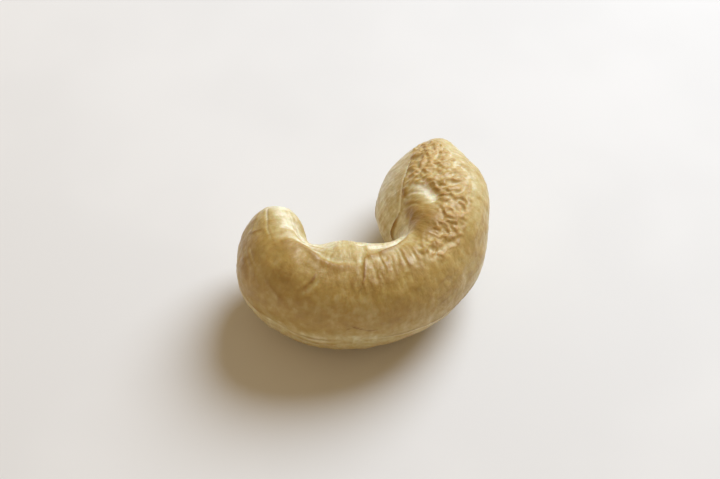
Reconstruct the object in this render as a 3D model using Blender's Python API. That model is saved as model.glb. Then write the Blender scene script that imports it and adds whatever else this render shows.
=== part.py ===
# A cashew kernel, lying on its side: two fat halves grown together and bent like a kidney.
# Lengths are in millimetres up to the last step, which scales the mesh to metres.
# A place on the kernel is given as (s, angle): s is the distance along the spine from the blunt
# tip, and angle goes round the section, 0 at the outer edge, 90 on top and 180 at the inner edge.

import math

import bmesh
import bpy
import numpy as np

MM = 0.001

# Spine and section at ten places from the blunt tip, round the bend, to the tapering tip:
# spine x, y, z, half widths outwards and inwards, half heights up and down, roll in degrees.
STATIONS = (
    (-6.4, 5.9, 6.0, 3.4, 2.9, 4.9, 4.9, 6),
    (-7.4, 3.2, 6.2, 3.8, 3.2, 5.3, 5.3, 6),
    (-8.1, 0.0, 6.2, 4.7, 3.6, 5.8, 5.8, 8),
    (-7.0, -3.4, 6.2, 4.6, 4.3, 6.0, 6.0, 8),
    (-3.8, -5.8, 6.2, 4.6, 4.5, 5.9, 5.9, 8),
    (0.5, -6.6, 6.2, 4.9, 3.6, 5.8, 5.8, 12),
    (5.3, -4.8, 6.2, 4.9, 3.8, 6.0, 6.0, 20),
    (7.9, -1.1, 6.2, 4.6, 5.0, 6.0, 6.0, 30),
    (9.8, 2.6, 6.2, 4.6, 4.5, 5.8, 5.8, 35),
    (13.2, 5.9, 6.2, 4.8, 3.5, 5.2, 5.2, 35),
)
INNER_FLATNESS = 0.3
BLUNT_CAP = 3.2
TAPER_CAP = 9.5

# Mesh density: rings along the kernel and columns round it, closer together over the folds.
RINGS = 122
COLUMNS = 48
FOLD_RINGS = (13.0, 33.0, 1.0)
FOLD_COLUMNS = (45.0, 168.0, 0.8)

# The parting line between the halves: angle at each s, with its groove's depth and half width.
OUTER_SEAM = ((6.0, 9.0), (10.0, 1.0), (13.0, -1.0), (18.0, 5.0), (26.0, 5.0), (33.0, 2.0))
INNER_SEAM = (
    (3.5, 184.0), (10.0, 186.0), (17.0, 188.0), (22.0, 193.0), (24.6, 189.0), (25.7, 173.0),
    (28.0, 162.0), (31.0, 156.0), (34.0, 152.0),
)
OUTER_SEAM_GROOVE = (0.14, 0.45)
INNER_SEAM_GROOVE = (0.34, 0.50)

# Sharp creases: depth, half width and the places that each runs through.
CREASES = (
    (0.22, 0.40, ((1.2, 92), (2.8, 90), (4.5, 88), (6.4, 86))),
    (0.12, 0.38, ((4.5, 84), (4.1, 68), (3.5, 50))),
    (0.20, 0.42, ((5.3, 92), (5.9, 108), (7.6, 117), (10.5, 117))),
    (0.28, 0.40, ((15.1, 114), (14.6, 92), (14.3, 74), (13.8, 56))),
    (0.20, 0.40, ((10.7, 80), (10.4, 68), (9.6, 53))),
    (0.18, 0.42, ((7.6, 56), (9.0, 44))),
    (0.28, 0.42, ((16.8, 104), (18.4, 111), (20.2, 122), (21.4, 132))),
)

# Hollows and swellings: height, radius and place.
SPOTS = (
    (-0.20, 0.90, (8.8, 67)),
    (-0.62, 1.10, (23.2, 135)),
    (-0.38, 0.70, (27.8, 157)),
    (0.30, 1.00, (15.0, 131)),
    (0.26, 1.60, (2.6, 62)),
)

# Long swellings and valleys: height, half width and the places that each runs through.
RIDGES = (
    (0.50, 0.75, ((28.0, 152), (27.3, 140), (26.6, 130), (25.7, 119))),
    (-0.48, 0.62, ((29.2, 138), (27.6, 120), (26.2, 113), (24.9, 108))),
    (0.22, 0.60, ((15.4, 120), (18.0, 125), (20.4, 137), (23.4, 158))),
    (0.18, 0.60, ((6.0, 88), (6.6, 105), (8.6, 111), (11.0, 102), (14.0, 99))),
    (0.16, 0.90, ((2.0, 108), (5.0, 114), (8.0, 128), (12.0, 132))),
    (0.40, 1.10, ((17.5, 198), (20.0, 200), (22.4, 203), (24.2, 206))),
)

# Folds that fan out from the inside of the bend: span in s, count, height and span in angle.
FAN_START = 15.0
FAN_END = 24.0
FAN_FOLDS = 11
FAN_HEIGHT = 0.19
FAN_ANGLES = (80.0, 118.0)
UNDER_FAN_ANGLES = (222.0, 268.0)
UNDER_FAN_SHARE = 0.6

# The crumpled patch on the tapering arm: its lowest and highest angle at some distances s, the
# softness of those edges in degrees, its span in s, and its furrows' pitch, depth and share.
CRUMPLE_EDGES = (
    (19.0, 92.0, 92.0), (21.0, 74.0, 100.0), (24.0, 78.0, 114.0), (26.8, 83.0, 119.0),
    (28.4, 88.0, 150.0), (31.0, 97.0, 158.0), (33.5, 108.0, 162.0),
)
CRUMPLE_SOFTNESS = 30.0
CRUMPLE_SPAN = (19.5, 33.6)
CRUMPLE_PITCH = 3.6
CRUMPLE_DEPTH = 0.38
CRUMPLE_SEED = 11
FURROW_SHARE = 0.55

# The slow unevenness of the whole surface: how far its dents lie apart, and their depth.
LUMP_PITCH = 8.5
LUMP_DEPTH = 0.13
LUMP_SEED = 4

# Three low spots that the kernel lies on: each one's place on the underside and how far it swells,
# their radius, and the height at which they are flat, from the same zero as the spine's.
REST_SPOTS = (((6.2, 276.0), 0.40), ((18.3, 280.0), 0.25), ((28.0, 293.0), 0.85))
REST_RADIUS = 2.6
REST_LEVEL = 0.14
UNDERSIDE = (200.0, 340.0)

COLOUR = (0.72, 0.56, 0.33, 1.0)
ROUGHNESS = 0.55


# The natural cubic spline through (knots, values), read at the given places.
def natural_spline(knots, values, at):
    count = len(knots)
    gap = np.diff(knots)
    system = np.zeros((count, count))
    right = np.zeros((count, values.shape[1]))
    system[0, 0] = system[-1, -1] = 1.0
    for i in range(1, count - 1):
        system[i, i - 1:i + 2] = gap[i - 1], 2 * (gap[i - 1] + gap[i]), gap[i]
        right[i] = 6 * ((values[i + 1] - values[i]) / gap[i] - (values[i] - values[i - 1]) / gap[i - 1])
    bend = np.linalg.solve(system, right)
    k = np.clip(np.searchsorted(knots, at, side="right") - 1, 0, count - 2)
    h = gap[k][:, None]
    before = (at - knots[k])[:, None]
    after = (knots[k + 1] - at)[:, None]
    curve = (bend[k] * after ** 3 + bend[k + 1] * before ** 3) / (6 * h)
    line = (values[k] / h - bend[k] * h / 6) * after + (values[k + 1] / h - bend[k + 1] * h / 6) * before
    return curve + line


# The spine at fine steps of its own length, with the section's sizes at each step.
def read_spine(step=0.02):
    table = np.array(STATIONS, float)
    chord = np.r_[0.0, np.cumsum(np.linalg.norm(np.diff(table[:, :3], axis=0), axis=1))]
    fine = np.arange(0.0, chord[-1], step)
    path = natural_spline(chord, table[:, :3], fine)
    arc = np.r_[0.0, np.cumsum(np.linalg.norm(np.diff(path, axis=0), axis=1))]
    sizes = natural_spline(np.interp(chord, fine, arc), table[:, 3:], arc)
    tangent = np.gradient(path, axis=0)
    tangent /= np.linalg.norm(tangent, axis=1)[:, None]
    return {"s": arc, "path": path, "tangent": tangent, "sizes": sizes}


# Points of the smooth kernel at the given s and angle, two arrays of one shape.
def shell(spine, s, angle):
    def read(rows):
        return np.stack([np.interp(s, spine["s"], column) for column in rows.T], -1)

    length = spine["s"][-1]
    centre = read(spine["path"])
    tangent = read(spine["tangent"])
    out, inner, top, bottom, roll = np.moveaxis(read(spine["sizes"]), -1, 0)
    side = np.cross(tangent, (0.0, 0.0, 1.0))
    side /= np.linalg.norm(side, axis=-1)[..., None]
    up = np.cross(side, tangent)
    turn = np.radians(roll)[..., None]
    side, up = side * np.cos(turn) - up * np.sin(turn), up * np.cos(turn) + side * np.sin(turn)
    start = np.clip(s / BLUNT_CAP, 0.0, 1.0)
    end = np.clip((length - s) / TAPER_CAP, 0.0, 1.0)
    cap = np.sqrt(1 - (1 - start) ** 2) * np.sqrt(1 - (1 - end) ** 2)
    across, upward = np.cos(np.radians(angle)), np.sin(np.radians(angle))
    flatter = 1 + INNER_FLATNESS * upward ** 2
    width = np.where(across > 0, out, inner * flatter) * across * cap
    height = np.where(upward > 0, top, bottom) * upward * cap
    return centre + side * width[..., None] + up * height[..., None]


# 1 between low and high, 0 outside, with soft edges.
def window(value, low, high, edge):
    rise = np.clip((value - low) / edge + 0.5, 0.0, 1.0)
    fall = np.clip((high - value) / edge + 0.5, 0.0, 1.0)
    return rise * rise * (3 - 2 * rise) * fall * fall * (3 - 2 * fall)


# A smooth random field with one pitch: waves of that length in many directions, added up.
def soft_noise(points, pitch, seed, waves=24):
    rng = np.random.default_rng(seed)
    direction = rng.normal(size=(waves, 3))
    direction /= np.linalg.norm(direction, axis=1)[:, None]
    phase = rng.uniform(0.0, 2 * math.pi, waves)
    stretch = rng.uniform(0.8, 1.25, waves)
    swing = np.cos((points @ direction.T) * stretch * (2 * math.pi / pitch) + phase)
    return swing.sum(axis=-1) / math.sqrt(waves / 2)


# The shortest distance from each point to the line that runs through places on the shell.
def distance_to(spine, points, places, steps=12):
    places = np.array(places, float)
    knots = np.arange(len(places), dtype=float)
    fine = np.linspace(0.0, knots[-1], steps * (len(places) - 1) + 1)
    run = natural_spline(knots, places, fine) if len(places) > 2 else places
    line = shell(spine, run[:, 0], run[:, 1])
    nearest = np.full(points.shape[:-1], np.inf)
    for start, end in zip(line[:-1], line[1:]):
        leg = end - start
        share = np.clip(((points - start) @ leg) / (leg @ leg), 0.0, 1.0)
        gap = np.linalg.norm(points - start - share[..., None] * leg, axis=-1)
        nearest = np.minimum(nearest, gap)
    return nearest


def bell(distance, half_width):
    return np.exp(-(distance / half_width) ** 2)


# Height of the folds, seams, creases and hollows over the smooth shell.
def relief(spine, points, s, angle):
    height = -LUMP_DEPTH * soft_noise(points, LUMP_PITCH, LUMP_SEED)
    for seam, (depth, width) in ((OUTER_SEAM, OUTER_SEAM_GROOVE), (INNER_SEAM, INNER_SEAM_GROOVE)):
        height -= depth * bell(distance_to(spine, points, seam), width)
    for depth, width, places in CREASES:
        height -= depth * bell(distance_to(spine, points, places), width)
    for rise, width, places in RIDGES:
        height += rise * bell(distance_to(spine, points, places), width)
    for rise, radius, (spot_s, spot_angle) in SPOTS:
        middle = shell(spine, np.array([spot_s]), np.array([spot_angle]))[0]
        height += rise * bell(np.linalg.norm(points - middle, axis=-1), radius)
    height += fan_folds(points, s, angle) + crumple(points, s, angle)
    return height


# Rounded folds with narrow furrows between them, across the inside of the bend.
def fan_folds(points, s, angle):
    turn = (s - FAN_START) / (FAN_END - FAN_START) * FAN_FOLDS
    turn = turn + 0.22 * soft_noise(points, 5.0, CRUMPLE_SEED + 1)
    fold = np.abs(np.sin(math.pi * turn)) - 0.6
    along = window(s, FAN_START, FAN_END, 2.0)
    above = window(angle, *FAN_ANGLES, 22.0)
    below = window(angle, *UNDER_FAN_ANGLES, 24.0) * UNDER_FAN_SHARE
    return FAN_HEIGHT * fold * along * (above + below)


# Furrows that wander like those of a walnut, where a soft random field crosses nought.
def crumple(points, s, angle):
    field = soft_noise(points, CRUMPLE_PITCH, CRUMPLE_SEED)
    furrow = bell(field, FURROW_SHARE)
    at, low, high = np.array(CRUMPLE_EDGES).T
    patch = window(s, *CRUMPLE_SPAN, 3.0)
    patch = patch * window(angle, np.interp(s, at, low), np.interp(s, at, high), CRUMPLE_SOFTNESS)
    return CRUMPLE_DEPTH * patch * (0.35 - furrow)


# Places at even steps of a density that rises over one span by the given share.
def uneven_steps(low, high, count, dense, closed):
    fine = np.linspace(low, high, 4001)
    density = 1.0 + dense[2] * window(fine, dense[0], dense[1], (high - low) / 12)
    total = np.r_[0.0, np.cumsum((density[1:] + density[:-1]) / 2 * np.diff(fine))]
    steps = np.linspace(0.0, total[-1], count + (1 if closed else 2))
    inside = steps[:-1] if closed else steps[1:-1]
    return np.interp(inside, total, fine)


# Distance along the spine for a running length that goes evenly over both rounded tips.
def along_spine(length, running):
    blunt, taper = BLUNT_CAP * math.pi / 2, TAPER_CAP * math.pi / 2
    total = blunt + (length - BLUNT_CAP - TAPER_CAP) + taper
    s = running * total
    first = BLUNT_CAP * (1 - np.cos(np.clip(s, 0, blunt) / BLUNT_CAP))
    last = TAPER_CAP * (1 - np.cos(np.clip(total - s, 0, taper) / TAPER_CAP))
    middle = s - blunt + BLUNT_CAP
    return np.where(s < blunt, first, np.where(s > total - taper, length - last, middle))


# Rings of points over the whole kernel with its relief, and the two tips.
def kernel_rings():
    spine = read_spine()
    length = spine["s"][-1]
    share = (FOLD_RINGS[0] / length, FOLD_RINGS[1] / length, FOLD_RINGS[2])
    s = along_spine(length, uneven_steps(0.0, 1.0, RINGS, share, False))
    angle = uneven_steps(0.0, 360.0, COLUMNS, FOLD_COLUMNS, True)
    s, angle = np.meshgrid(s, angle, indexing="ij")
    smooth = shell(spine, s, angle)
    along = np.gradient(smooth, axis=0)
    around = np.roll(smooth, -1, axis=1) - np.roll(smooth, 1, axis=1)
    outward = np.cross(along, around)
    outward /= np.linalg.norm(outward, axis=-1)[..., None]
    height = relief(spine, smooth, s, angle)
    rings = smooth + outward * height[..., None]
    for place, swell in REST_SPOTS:
        middle = shell(spine, *np.array([place]).T)[0]
        sideways = np.linalg.norm((smooth - middle)[..., :2], axis=-1)
        rings[..., 2] -= swell * bell(sideways, REST_RADIUS) * window(angle, *UNDERSIDE, 30.0)
    tip_height = height[[0, -1]].mean(axis=1)[:, None]
    outward = spine["tangent"][[0, -1]] * np.array([[-1.0], [1.0]])
    return rings, spine["path"][[0, -1]] + outward * tip_height


# Sets the kernel down on its three low spots, with the origin under the middle of its box.
def set_down(rings, tips):
    rings[..., 2] = np.maximum(rings[..., 2], REST_LEVEL)
    points = np.concatenate([rings.reshape(-1, 3), tips])
    middle = (points.min(axis=0) + points.max(axis=0)) / 2
    shift = np.array((middle[0], middle[1], REST_LEVEL))
    return rings - shift, tips - shift


# One closed mesh over the rings, with a fan of triangles at each tip.
def make_kernel_mesh(rings, tips):
    body = bmesh.new()
    rows = [[body.verts.new(point * MM) for point in ring] for ring in rings]
    first, last = (body.verts.new(point * MM) for point in tips)
    for k in range(COLUMNS):
        after = (k + 1) % COLUMNS
        body.faces.new((first, rows[0][after], rows[0][k]))
        body.faces.new((last, rows[-1][k], rows[-1][after]))
        for lower, upper in zip(rows[:-1], rows[1:]):
            body.faces.new((lower[k], lower[after], upper[after], upper[k]))
    bmesh.ops.recalc_face_normals(body, faces=body.faces)
    bmesh.ops.triangulate(body, faces=body.faces)
    mesh = bpy.data.meshes.new("cashew_kernel")
    body.to_mesh(mesh)
    body.free()
    mesh.shade_smooth()
    return mesh


def make_kernel_material():
    material = bpy.data.materials.new("kernel_skin")
    material.use_nodes = True
    surface = material.node_tree.nodes["Principled BSDF"]
    surface.inputs["Base Color"].default_value = COLOUR
    surface.inputs["Roughness"].default_value = ROUGHNESS
    surface.inputs["Metallic"].default_value = 0.0
    return material


def main():
    for item in list(bpy.data.objects):
        bpy.data.objects.remove(item)
    rings, tips = set_down(*kernel_rings())
    kernel = bpy.data.objects.new("cashew_kernel", make_kernel_mesh(rings, tips))
    kernel.data.materials.append(make_kernel_material())
    bpy.context.scene.collection.objects.link(kernel)


main()
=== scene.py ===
import math

import bpy
import numpy as np
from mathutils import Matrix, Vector


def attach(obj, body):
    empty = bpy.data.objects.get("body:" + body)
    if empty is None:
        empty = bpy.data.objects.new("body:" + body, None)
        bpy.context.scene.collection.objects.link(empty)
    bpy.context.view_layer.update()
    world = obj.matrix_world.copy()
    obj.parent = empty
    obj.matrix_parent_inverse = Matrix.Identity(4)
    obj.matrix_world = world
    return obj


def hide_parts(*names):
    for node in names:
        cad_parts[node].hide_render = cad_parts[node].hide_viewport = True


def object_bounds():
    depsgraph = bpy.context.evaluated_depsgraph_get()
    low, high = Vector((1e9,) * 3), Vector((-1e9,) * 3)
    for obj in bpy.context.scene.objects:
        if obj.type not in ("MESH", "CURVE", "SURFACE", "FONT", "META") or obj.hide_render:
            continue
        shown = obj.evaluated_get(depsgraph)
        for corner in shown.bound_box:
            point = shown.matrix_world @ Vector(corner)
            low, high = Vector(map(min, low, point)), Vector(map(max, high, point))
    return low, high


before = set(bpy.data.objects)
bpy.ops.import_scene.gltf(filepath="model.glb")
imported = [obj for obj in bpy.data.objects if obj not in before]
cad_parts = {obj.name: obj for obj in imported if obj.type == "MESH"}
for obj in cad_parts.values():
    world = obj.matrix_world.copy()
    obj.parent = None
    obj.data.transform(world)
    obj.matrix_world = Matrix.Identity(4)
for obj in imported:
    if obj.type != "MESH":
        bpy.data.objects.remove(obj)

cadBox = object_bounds()
mm = 0.001

# A place on the kernel is (s, angle): s in mm along the spine from the blunt tip, angle in degrees
# round the section, 0 at the outer edge, 90 on top, 180 at the inner edge.
kernel = {
    "node": "cashew_kernel",
    "slot": "kernel_skin",
    # spine x, y, z, half widths out and in, half heights up and down, roll in degrees
    "stations": (
        (-6.4, 5.9, 6.0, 3.4, 2.9, 4.9, 4.9, 6),
        (-7.4, 3.2, 6.2, 3.8, 3.2, 5.3, 5.3, 6),
        (-8.1, 0.0, 6.2, 4.7, 3.6, 5.8, 5.8, 8),
        (-7.0, -3.4, 6.2, 4.6, 4.3, 6.0, 6.0, 8),
        (-3.8, -5.8, 6.2, 4.6, 4.5, 5.9, 5.9, 8),
        (0.5, -6.6, 6.2, 4.9, 3.6, 5.8, 5.8, 12),
        (5.3, -4.8, 6.2, 4.9, 3.8, 6.0, 6.0, 20),
        (7.9, -1.1, 6.2, 4.6, 5.0, 6.0, 6.0, 30),
        (9.8, 2.6, 6.2, 4.6, 4.5, 5.8, 5.8, 35),
        (13.2, 5.9, 6.2, 4.8, 3.5, 5.2, 5.2, 35),
    ),
    "innerFlatness": 0.3,
    "bluntCap": 3.2,
    "taperCap": 9.5,
    "rings": 440,
    "columns": 222,
    "denseRings": (11.0, 33.0, 0.5),     # from, to, how much denser
    "denseColumns": (45.0, 170.0, 0.6),
    "lumpPitch": 8.5,
    "lumpDepth": 0.13,
    "lumpSeed": 4,
    "restSpots": (((6.2, 276.0), 0.40), ((18.3, 280.0), 0.25), ((28.0, 293.0), 0.85)),
    "restRadius": 2.6,
    "restLevel": 0.14,
    "underside": (200.0, 340.0),
    "undersideEdge": 30.0,
    "mmPerDegree": 0.083,                # round the section, near enough
}


def naturalSpline(knots, values, at):     # the smooth curve through values at knots, read at places
    count = len(knots)
    gap = np.diff(knots)
    system = np.zeros((count, count))
    right = np.zeros((count, values.shape[1]))
    system[0, 0] = system[-1, -1] = 1.0
    for i in range(1, count - 1):
        system[i, i - 1:i + 2] = gap[i - 1], 2 * (gap[i - 1] + gap[i]), gap[i]
        right[i] = 6 * ((values[i + 1] - values[i]) / gap[i] - (values[i] - values[i - 1]) / gap[i - 1])
    bend = np.linalg.solve(system, right)
    k = np.clip(np.searchsorted(knots, at, side="right") - 1, 0, count - 2)
    h = gap[k][:, None]
    before = (at - knots[k])[:, None]
    after = (knots[k + 1] - at)[:, None]
    curve = (bend[k] * after ** 3 + bend[k + 1] * before ** 3) / (6 * h)
    curve = curve + (values[k] / h - bend[k] * h / 6) * after
    return curve + (values[k + 1] / h - bend[k + 1] * h / 6) * before


def readSpine(step=0.02):     # the spine at fine steps, with the section's sizes at each
    table = np.array(kernel["stations"], float)
    chord = np.r_[0.0, np.cumsum(np.linalg.norm(np.diff(table[:, :3], axis=0), axis=1))]
    fine = np.arange(0.0, chord[-1], step)
    path = naturalSpline(chord, table[:, :3], fine)
    arc = np.r_[0.0, np.cumsum(np.linalg.norm(np.diff(path, axis=0), axis=1))]
    sizes = naturalSpline(np.interp(chord, fine, arc), table[:, 3:], arc)
    tangent = np.gradient(path, axis=0)
    tangent /= np.linalg.norm(tangent, axis=1)[:, None]
    return {"s": arc, "path": path, "tangent": tangent, "sizes": sizes, "length": arc[-1]}


def onShell(spine, s, angle):     # points of the smooth kernel, in mm
    def read(rows):
        return np.stack([np.interp(s, spine["s"], column) for column in rows.T], -1)

    centre = read(spine["path"])
    tangent = read(spine["tangent"])
    out, inner, top, bottom, roll = np.moveaxis(read(spine["sizes"]), -1, 0)
    side = np.cross(tangent, (0.0, 0.0, 1.0))
    side /= np.linalg.norm(side, axis=-1)[..., None]
    up = np.cross(side, tangent)
    turn = np.radians(roll)[..., None]
    side, up = side * np.cos(turn) - up * np.sin(turn), up * np.cos(turn) + side * np.sin(turn)
    start = np.clip(s / kernel["bluntCap"], 0.0, 1.0)
    end = np.clip((spine["length"] - s) / kernel["taperCap"], 0.0, 1.0)
    cap = np.sqrt(1 - (1 - start) ** 2) * np.sqrt(1 - (1 - end) ** 2)
    across, upward = np.cos(np.radians(angle)), np.sin(np.radians(angle))
    flatter = 1 + kernel["innerFlatness"] * upward ** 2
    width = np.where(across > 0, out, inner * flatter) * across * cap
    height = np.where(upward > 0, top, bottom) * upward * cap
    return centre + side * width[..., None] + up * height[..., None]


def window(value, low, high, edge):     # 1 between low and high, with soft edges
    rise = np.clip((value - low) / edge + 0.5, 0.0, 1.0)
    fall = np.clip((high - value) / edge + 0.5, 0.0, 1.0)
    return rise * rise * (3 - 2 * rise) * fall * fall * (3 - 2 * fall)


def bell(distance, halfWidth):
    return np.exp(-(distance / halfWidth) ** 2)


def softNoise(points, pitch, seed, waves=24):
    rng = np.random.default_rng(seed)
    direction = rng.normal(size=(waves, 3))
    direction /= np.linalg.norm(direction, axis=1)[:, None]
    phase = rng.uniform(0.0, 2 * math.pi, waves)
    stretch = rng.uniform(0.8, 1.25, waves)
    swing = np.cos((points @ direction.T) * stretch * (2 * math.pi / pitch) + phase)
    return swing.sum(axis=-1) / math.sqrt(waves / 2)


def unevenSteps(low, high, count, dense, closed, samples=4001):     # they crowd over one span
    start, end, extra = dense
    fine = np.linspace(low, high, samples)
    softEdge = (high - low) / 12
    density = 1.0 + extra * window(fine, start, end, softEdge)
    total = np.r_[0.0, np.cumsum((density[1:] + density[:-1]) / 2 * np.diff(fine))]
    steps = np.linspace(0.0, total[-1], count + (1 if closed else 2))
    return np.interp(steps[:-1] if closed else steps[1:-1], total, fine)


def alongSpine(length, running):     # s for a running length that goes evenly over the rounded tips
    blunt, taper = kernel["bluntCap"] * math.pi / 2, kernel["taperCap"] * math.pi / 2
    total = blunt + (length - kernel["bluntCap"] - kernel["taperCap"]) + taper
    s = running * total
    first = kernel["bluntCap"] * (1 - np.cos(np.clip(s, 0, blunt) / kernel["bluntCap"]))
    last = kernel["taperCap"] * (1 - np.cos(np.clip(total - s, 0, taper) / kernel["taperCap"]))
    middle = s - blunt + kernel["bluntCap"]
    return np.where(s < blunt, first, np.where(s > total - taper, length - last, middle))


def addObject(name, data):
    added = bpy.data.objects.new(name, data)
    bpy.context.scene.collection.objects.link(added)
    return added


spine = readSpine()
print("spine of the kernel:", round(spine["length"], 2), "mm")


# Every mark on the kernel is a line through places. It has a rise in mm (below zero for a groove),
# a reach (its half width), a profile power (2 round, 1 sharp), how much brown stain it holds, a tone
# (above zero paler, below zero darker), and the mm over which it fades at its ends, if it does.
plainLine = {"rise": 0.0, "power": 2.0, "stain": 0.0, "tone": 0.0}     # where a line doesn't say

# The parting line between the two halves.
seams = {
    "outer": dict(rise=-0.10, reach=0.13, power=1.4, stain=0.55, fade=3.0, places=(
        (6.0, 10), (8.5, 6), (10.0, 1), (11.6, -2), (13.2, 0), (15.4, 3), (20.0, 6), (28.0, 5), (34.0, 2))),
    "outerTwin": dict(rise=-0.08, reach=0.12, power=1.4, stain=0.45, fade=1.5, places=(
        (8.4, 2), (9.6, -5), (11.0, -12), (12.6, -11), (14.4, -6), (16.0, -4))),
    "outerBank": dict(rise=0.08, reach=0.20, fade=2.0, places=(
        (8.2, 5), (9.8, -2), (11.3, -7), (13.0, -6), (15.5, -1), (19.0, 2))),
    "inner": dict(rise=-0.11, reach=0.11, power=1.4, tone=-0.6, stain=0.1, fade=2.5, places=(
        (26.0, 170), (27.0, 165.5), (28.3, 161), (30.0, 157.5), (31.6, 155), (33.0, 153))),
    "innerBank": dict(rise=0.15, reach=0.13, tone=0.8, fade=1.2, places=(
        (25.2, 181), (26.0, 173), (27.0, 168), (28.4, 163.6), (30.0, 160.5), (31.6, 158))),
    "crevice": dict(rise=-0.42, reach=0.17, power=1.4, tone=-1.0, stain=0.85, fade=1.2, places=(
        (25.9, 171), (25.4, 177), (24.9, 184), (24.6, 192), (23.6, 195), (21.5, 191), (19.0, 188))),
    "innerRest": dict(rise=-0.22, reach=0.20, power=1.5, tone=-0.4, stain=0.40, fade=3.5, places=(
        (6.5, 191), (9.0, 187), (11.5, 189), (14.0, 185), (16.5, 187), (19.0, 188))),
}

# Cracks and creases, with the banks beside them.
creases = {
    "crack": dict(rise=-0.23, reach=0.090, power=1.2, stain=1.0, fade=0.9, places=(
        (14.95, 105), (14.7, 97), (14.55, 88), (14.4, 79), (14.2, 69.5))),
    "crackFoot": dict(rise=-0.12, reach=0.075, power=1.2, stain=0.9, fade=0.6, places=(
        (14.2, 68), (13.9, 65), (13.8, 58), (13.85, 49))),
    "crackBank": dict(rise=0.09, reach=0.24, tone=0.3, fade=1.0, places=(
        (15.0, 122), (14.75, 110), (14.35, 98), (14.2, 86))),
    "tip": dict(rise=-0.08, reach=0.085, power=1.3, stain=0.35, fade=0.8, places=(
        (2.1, 90.8), (3.1, 89.6), (3.9, 88.8), (4.6, 87.8), (5.3, 88), (6.3, 87.6))),
    "tipBank": dict(rise=0.12, reach=0.115, tone=0.9, fade=0.8, places=(
        (1.8, 88), (3.1, 86.8), (3.9, 86), (4.6, 85), (5.3, 85.4), (6.1, 85.4))),
    "cross": dict(rise=-0.09, reach=0.12, power=1.3, stain=0.45, fade=1.0, places=(
        (3.5, 50), (4.0, 62), (4.3, 74), (4.5, 83))),
    "bandUpper": dict(rise=0.11, reach=0.20, tone=0.35, fade=1.2, places=(
        (5.0, 99), (4.75, 111), (5.2, 121), (6.6, 126), (8.8, 124), (11.5, 123))),
    "bandGroove": dict(rise=-0.11, reach=0.14, power=1.6, tone=-0.4, stain=0.15, fade=1.2, places=(
        (5.6, 96), (5.5, 107), (6.0, 115), (7.2, 119), (8.8, 118.5), (10.5, 118))),
    # a real crest, with a painted highlight along it
    "bandCrestWithPaintedHighlight": dict(rise=0.13, reach=0.34, tone=0.45, fade=1.6, places=(
        (6.0, 88), (6.1, 97), (6.4, 106), (6.95, 112), (8.0, 113), (9.0, 111), (10.4, 105), (12.0, 100),
        (14.0, 99))),
    # a shallow groove, with painted shade under the lit band
    "underBand": dict(rise=-0.10, reach=0.42, power=2.2, tone=-0.65, fade=0.6, places=(
        (6.6, 92), (7.0, 100), (7.7, 106), (8.8, 107.5), (10.2, 100), (12.0, 94), (13.8, 93))),
    "tipFold": dict(rise=0.09, reach=0.14, tone=0.5, fade=0.6, places=((5.0, 57), (6.0, 55), (7.0, 55.5))),
    "tipFoldBelow": dict(rise=0.06, reach=0.13, tone=0.3, fade=0.6, places=(
        (4.9, 50), (6.0, 47), (7.2, 48))),
    "long": dict(rise=-0.19, reach=0.095, power=1.1, stain=0.95, fade=0.5, places=(
        (10.65, 82), (10.6, 76), (10.5, 71), (10.2, 64), (9.9, 57), (9.5, 51), (9.0, 47))),
    "longArc": dict(rise=-0.08, reach=0.09, power=1.2, stain=0.5, fade=0.5, places=(
        (10.1, 76), (9.9, 69), (9.6, 62), (9.1, 56))),
    "longBank": dict(rise=0.10, reach=0.24, tone=0.25, fade=0.6, places=(
        (11.0, 78), (10.8, 68), (10.4, 60), (9.9, 53))),
    "short": dict(rise=-0.20, reach=0.22, power=1.8, tone=-0.3, stain=0.45, fade=0.6, places=(
        (7.5, 56), (8.0, 52), (8.6, 48), (9.2, 42))),
    "shortBank": dict(rise=0.11, reach=0.22, fade=0.6, places=((7.9, 61), (8.4, 56), (8.9, 50), (9.3, 46))),
    "faint": dict(rise=-0.06, reach=0.10, power=1.4, stain=0.4, fade=0.5, places=(
        (12.8, 84), (12.6, 76), (12.3, 70))),
    "nick": dict(rise=-0.10, reach=0.08, power=1.4, stain=1.0, fade=0.2, places=(
        (13.0, 59.5), (12.9, 57), (12.8, 55))),
    "branch": dict(rise=-0.05, reach=0.08, power=1.4, stain=0.9, fade=0.4, places=(
        (13.2, 26), (13.6, 21.5), (14.2, 18), (14.9, 17))),
    "lipGroove": dict(rise=-0.24, reach=0.17, power=1.6, tone=-0.6, stain=0.35, fade=0.8, places=(
        (16.2, 106.5), (17.3, 111), (18.1, 114), (19.0, 119), (19.8, 123), (20.6, 129))),
    # a real lip, painted paler as a highlight along the inner edge of the bend
    "lip": dict(rise=0.24, reach=0.45, power=2.4, tone=0.5, fade=1.5, places=(
        (15.4, 121), (17.0, 123), (18.6, 128), (20.2, 138), (21.4, 150), (22.8, 162))),
    "underCrack": dict(rise=-0.14, reach=0.13, power=1.3, stain=0.6, fade=1.5, places=(
        (9.0, 292), (9.6, 276), (9.8, 258), (10.6, 240))),
    "underShort": dict(rise=-0.18, reach=0.18, power=1.5, stain=0.6, fade=1.0, places=(
        (24.4, 262), (23.6, 248), (22.6, 236))),
    "backDimple": dict(rise=-0.14, reach=0.35, stain=0.3, fade=1.0, places=(
        (30.6, 216), (29.4, 222), (28.6, 232))),
}

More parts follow.
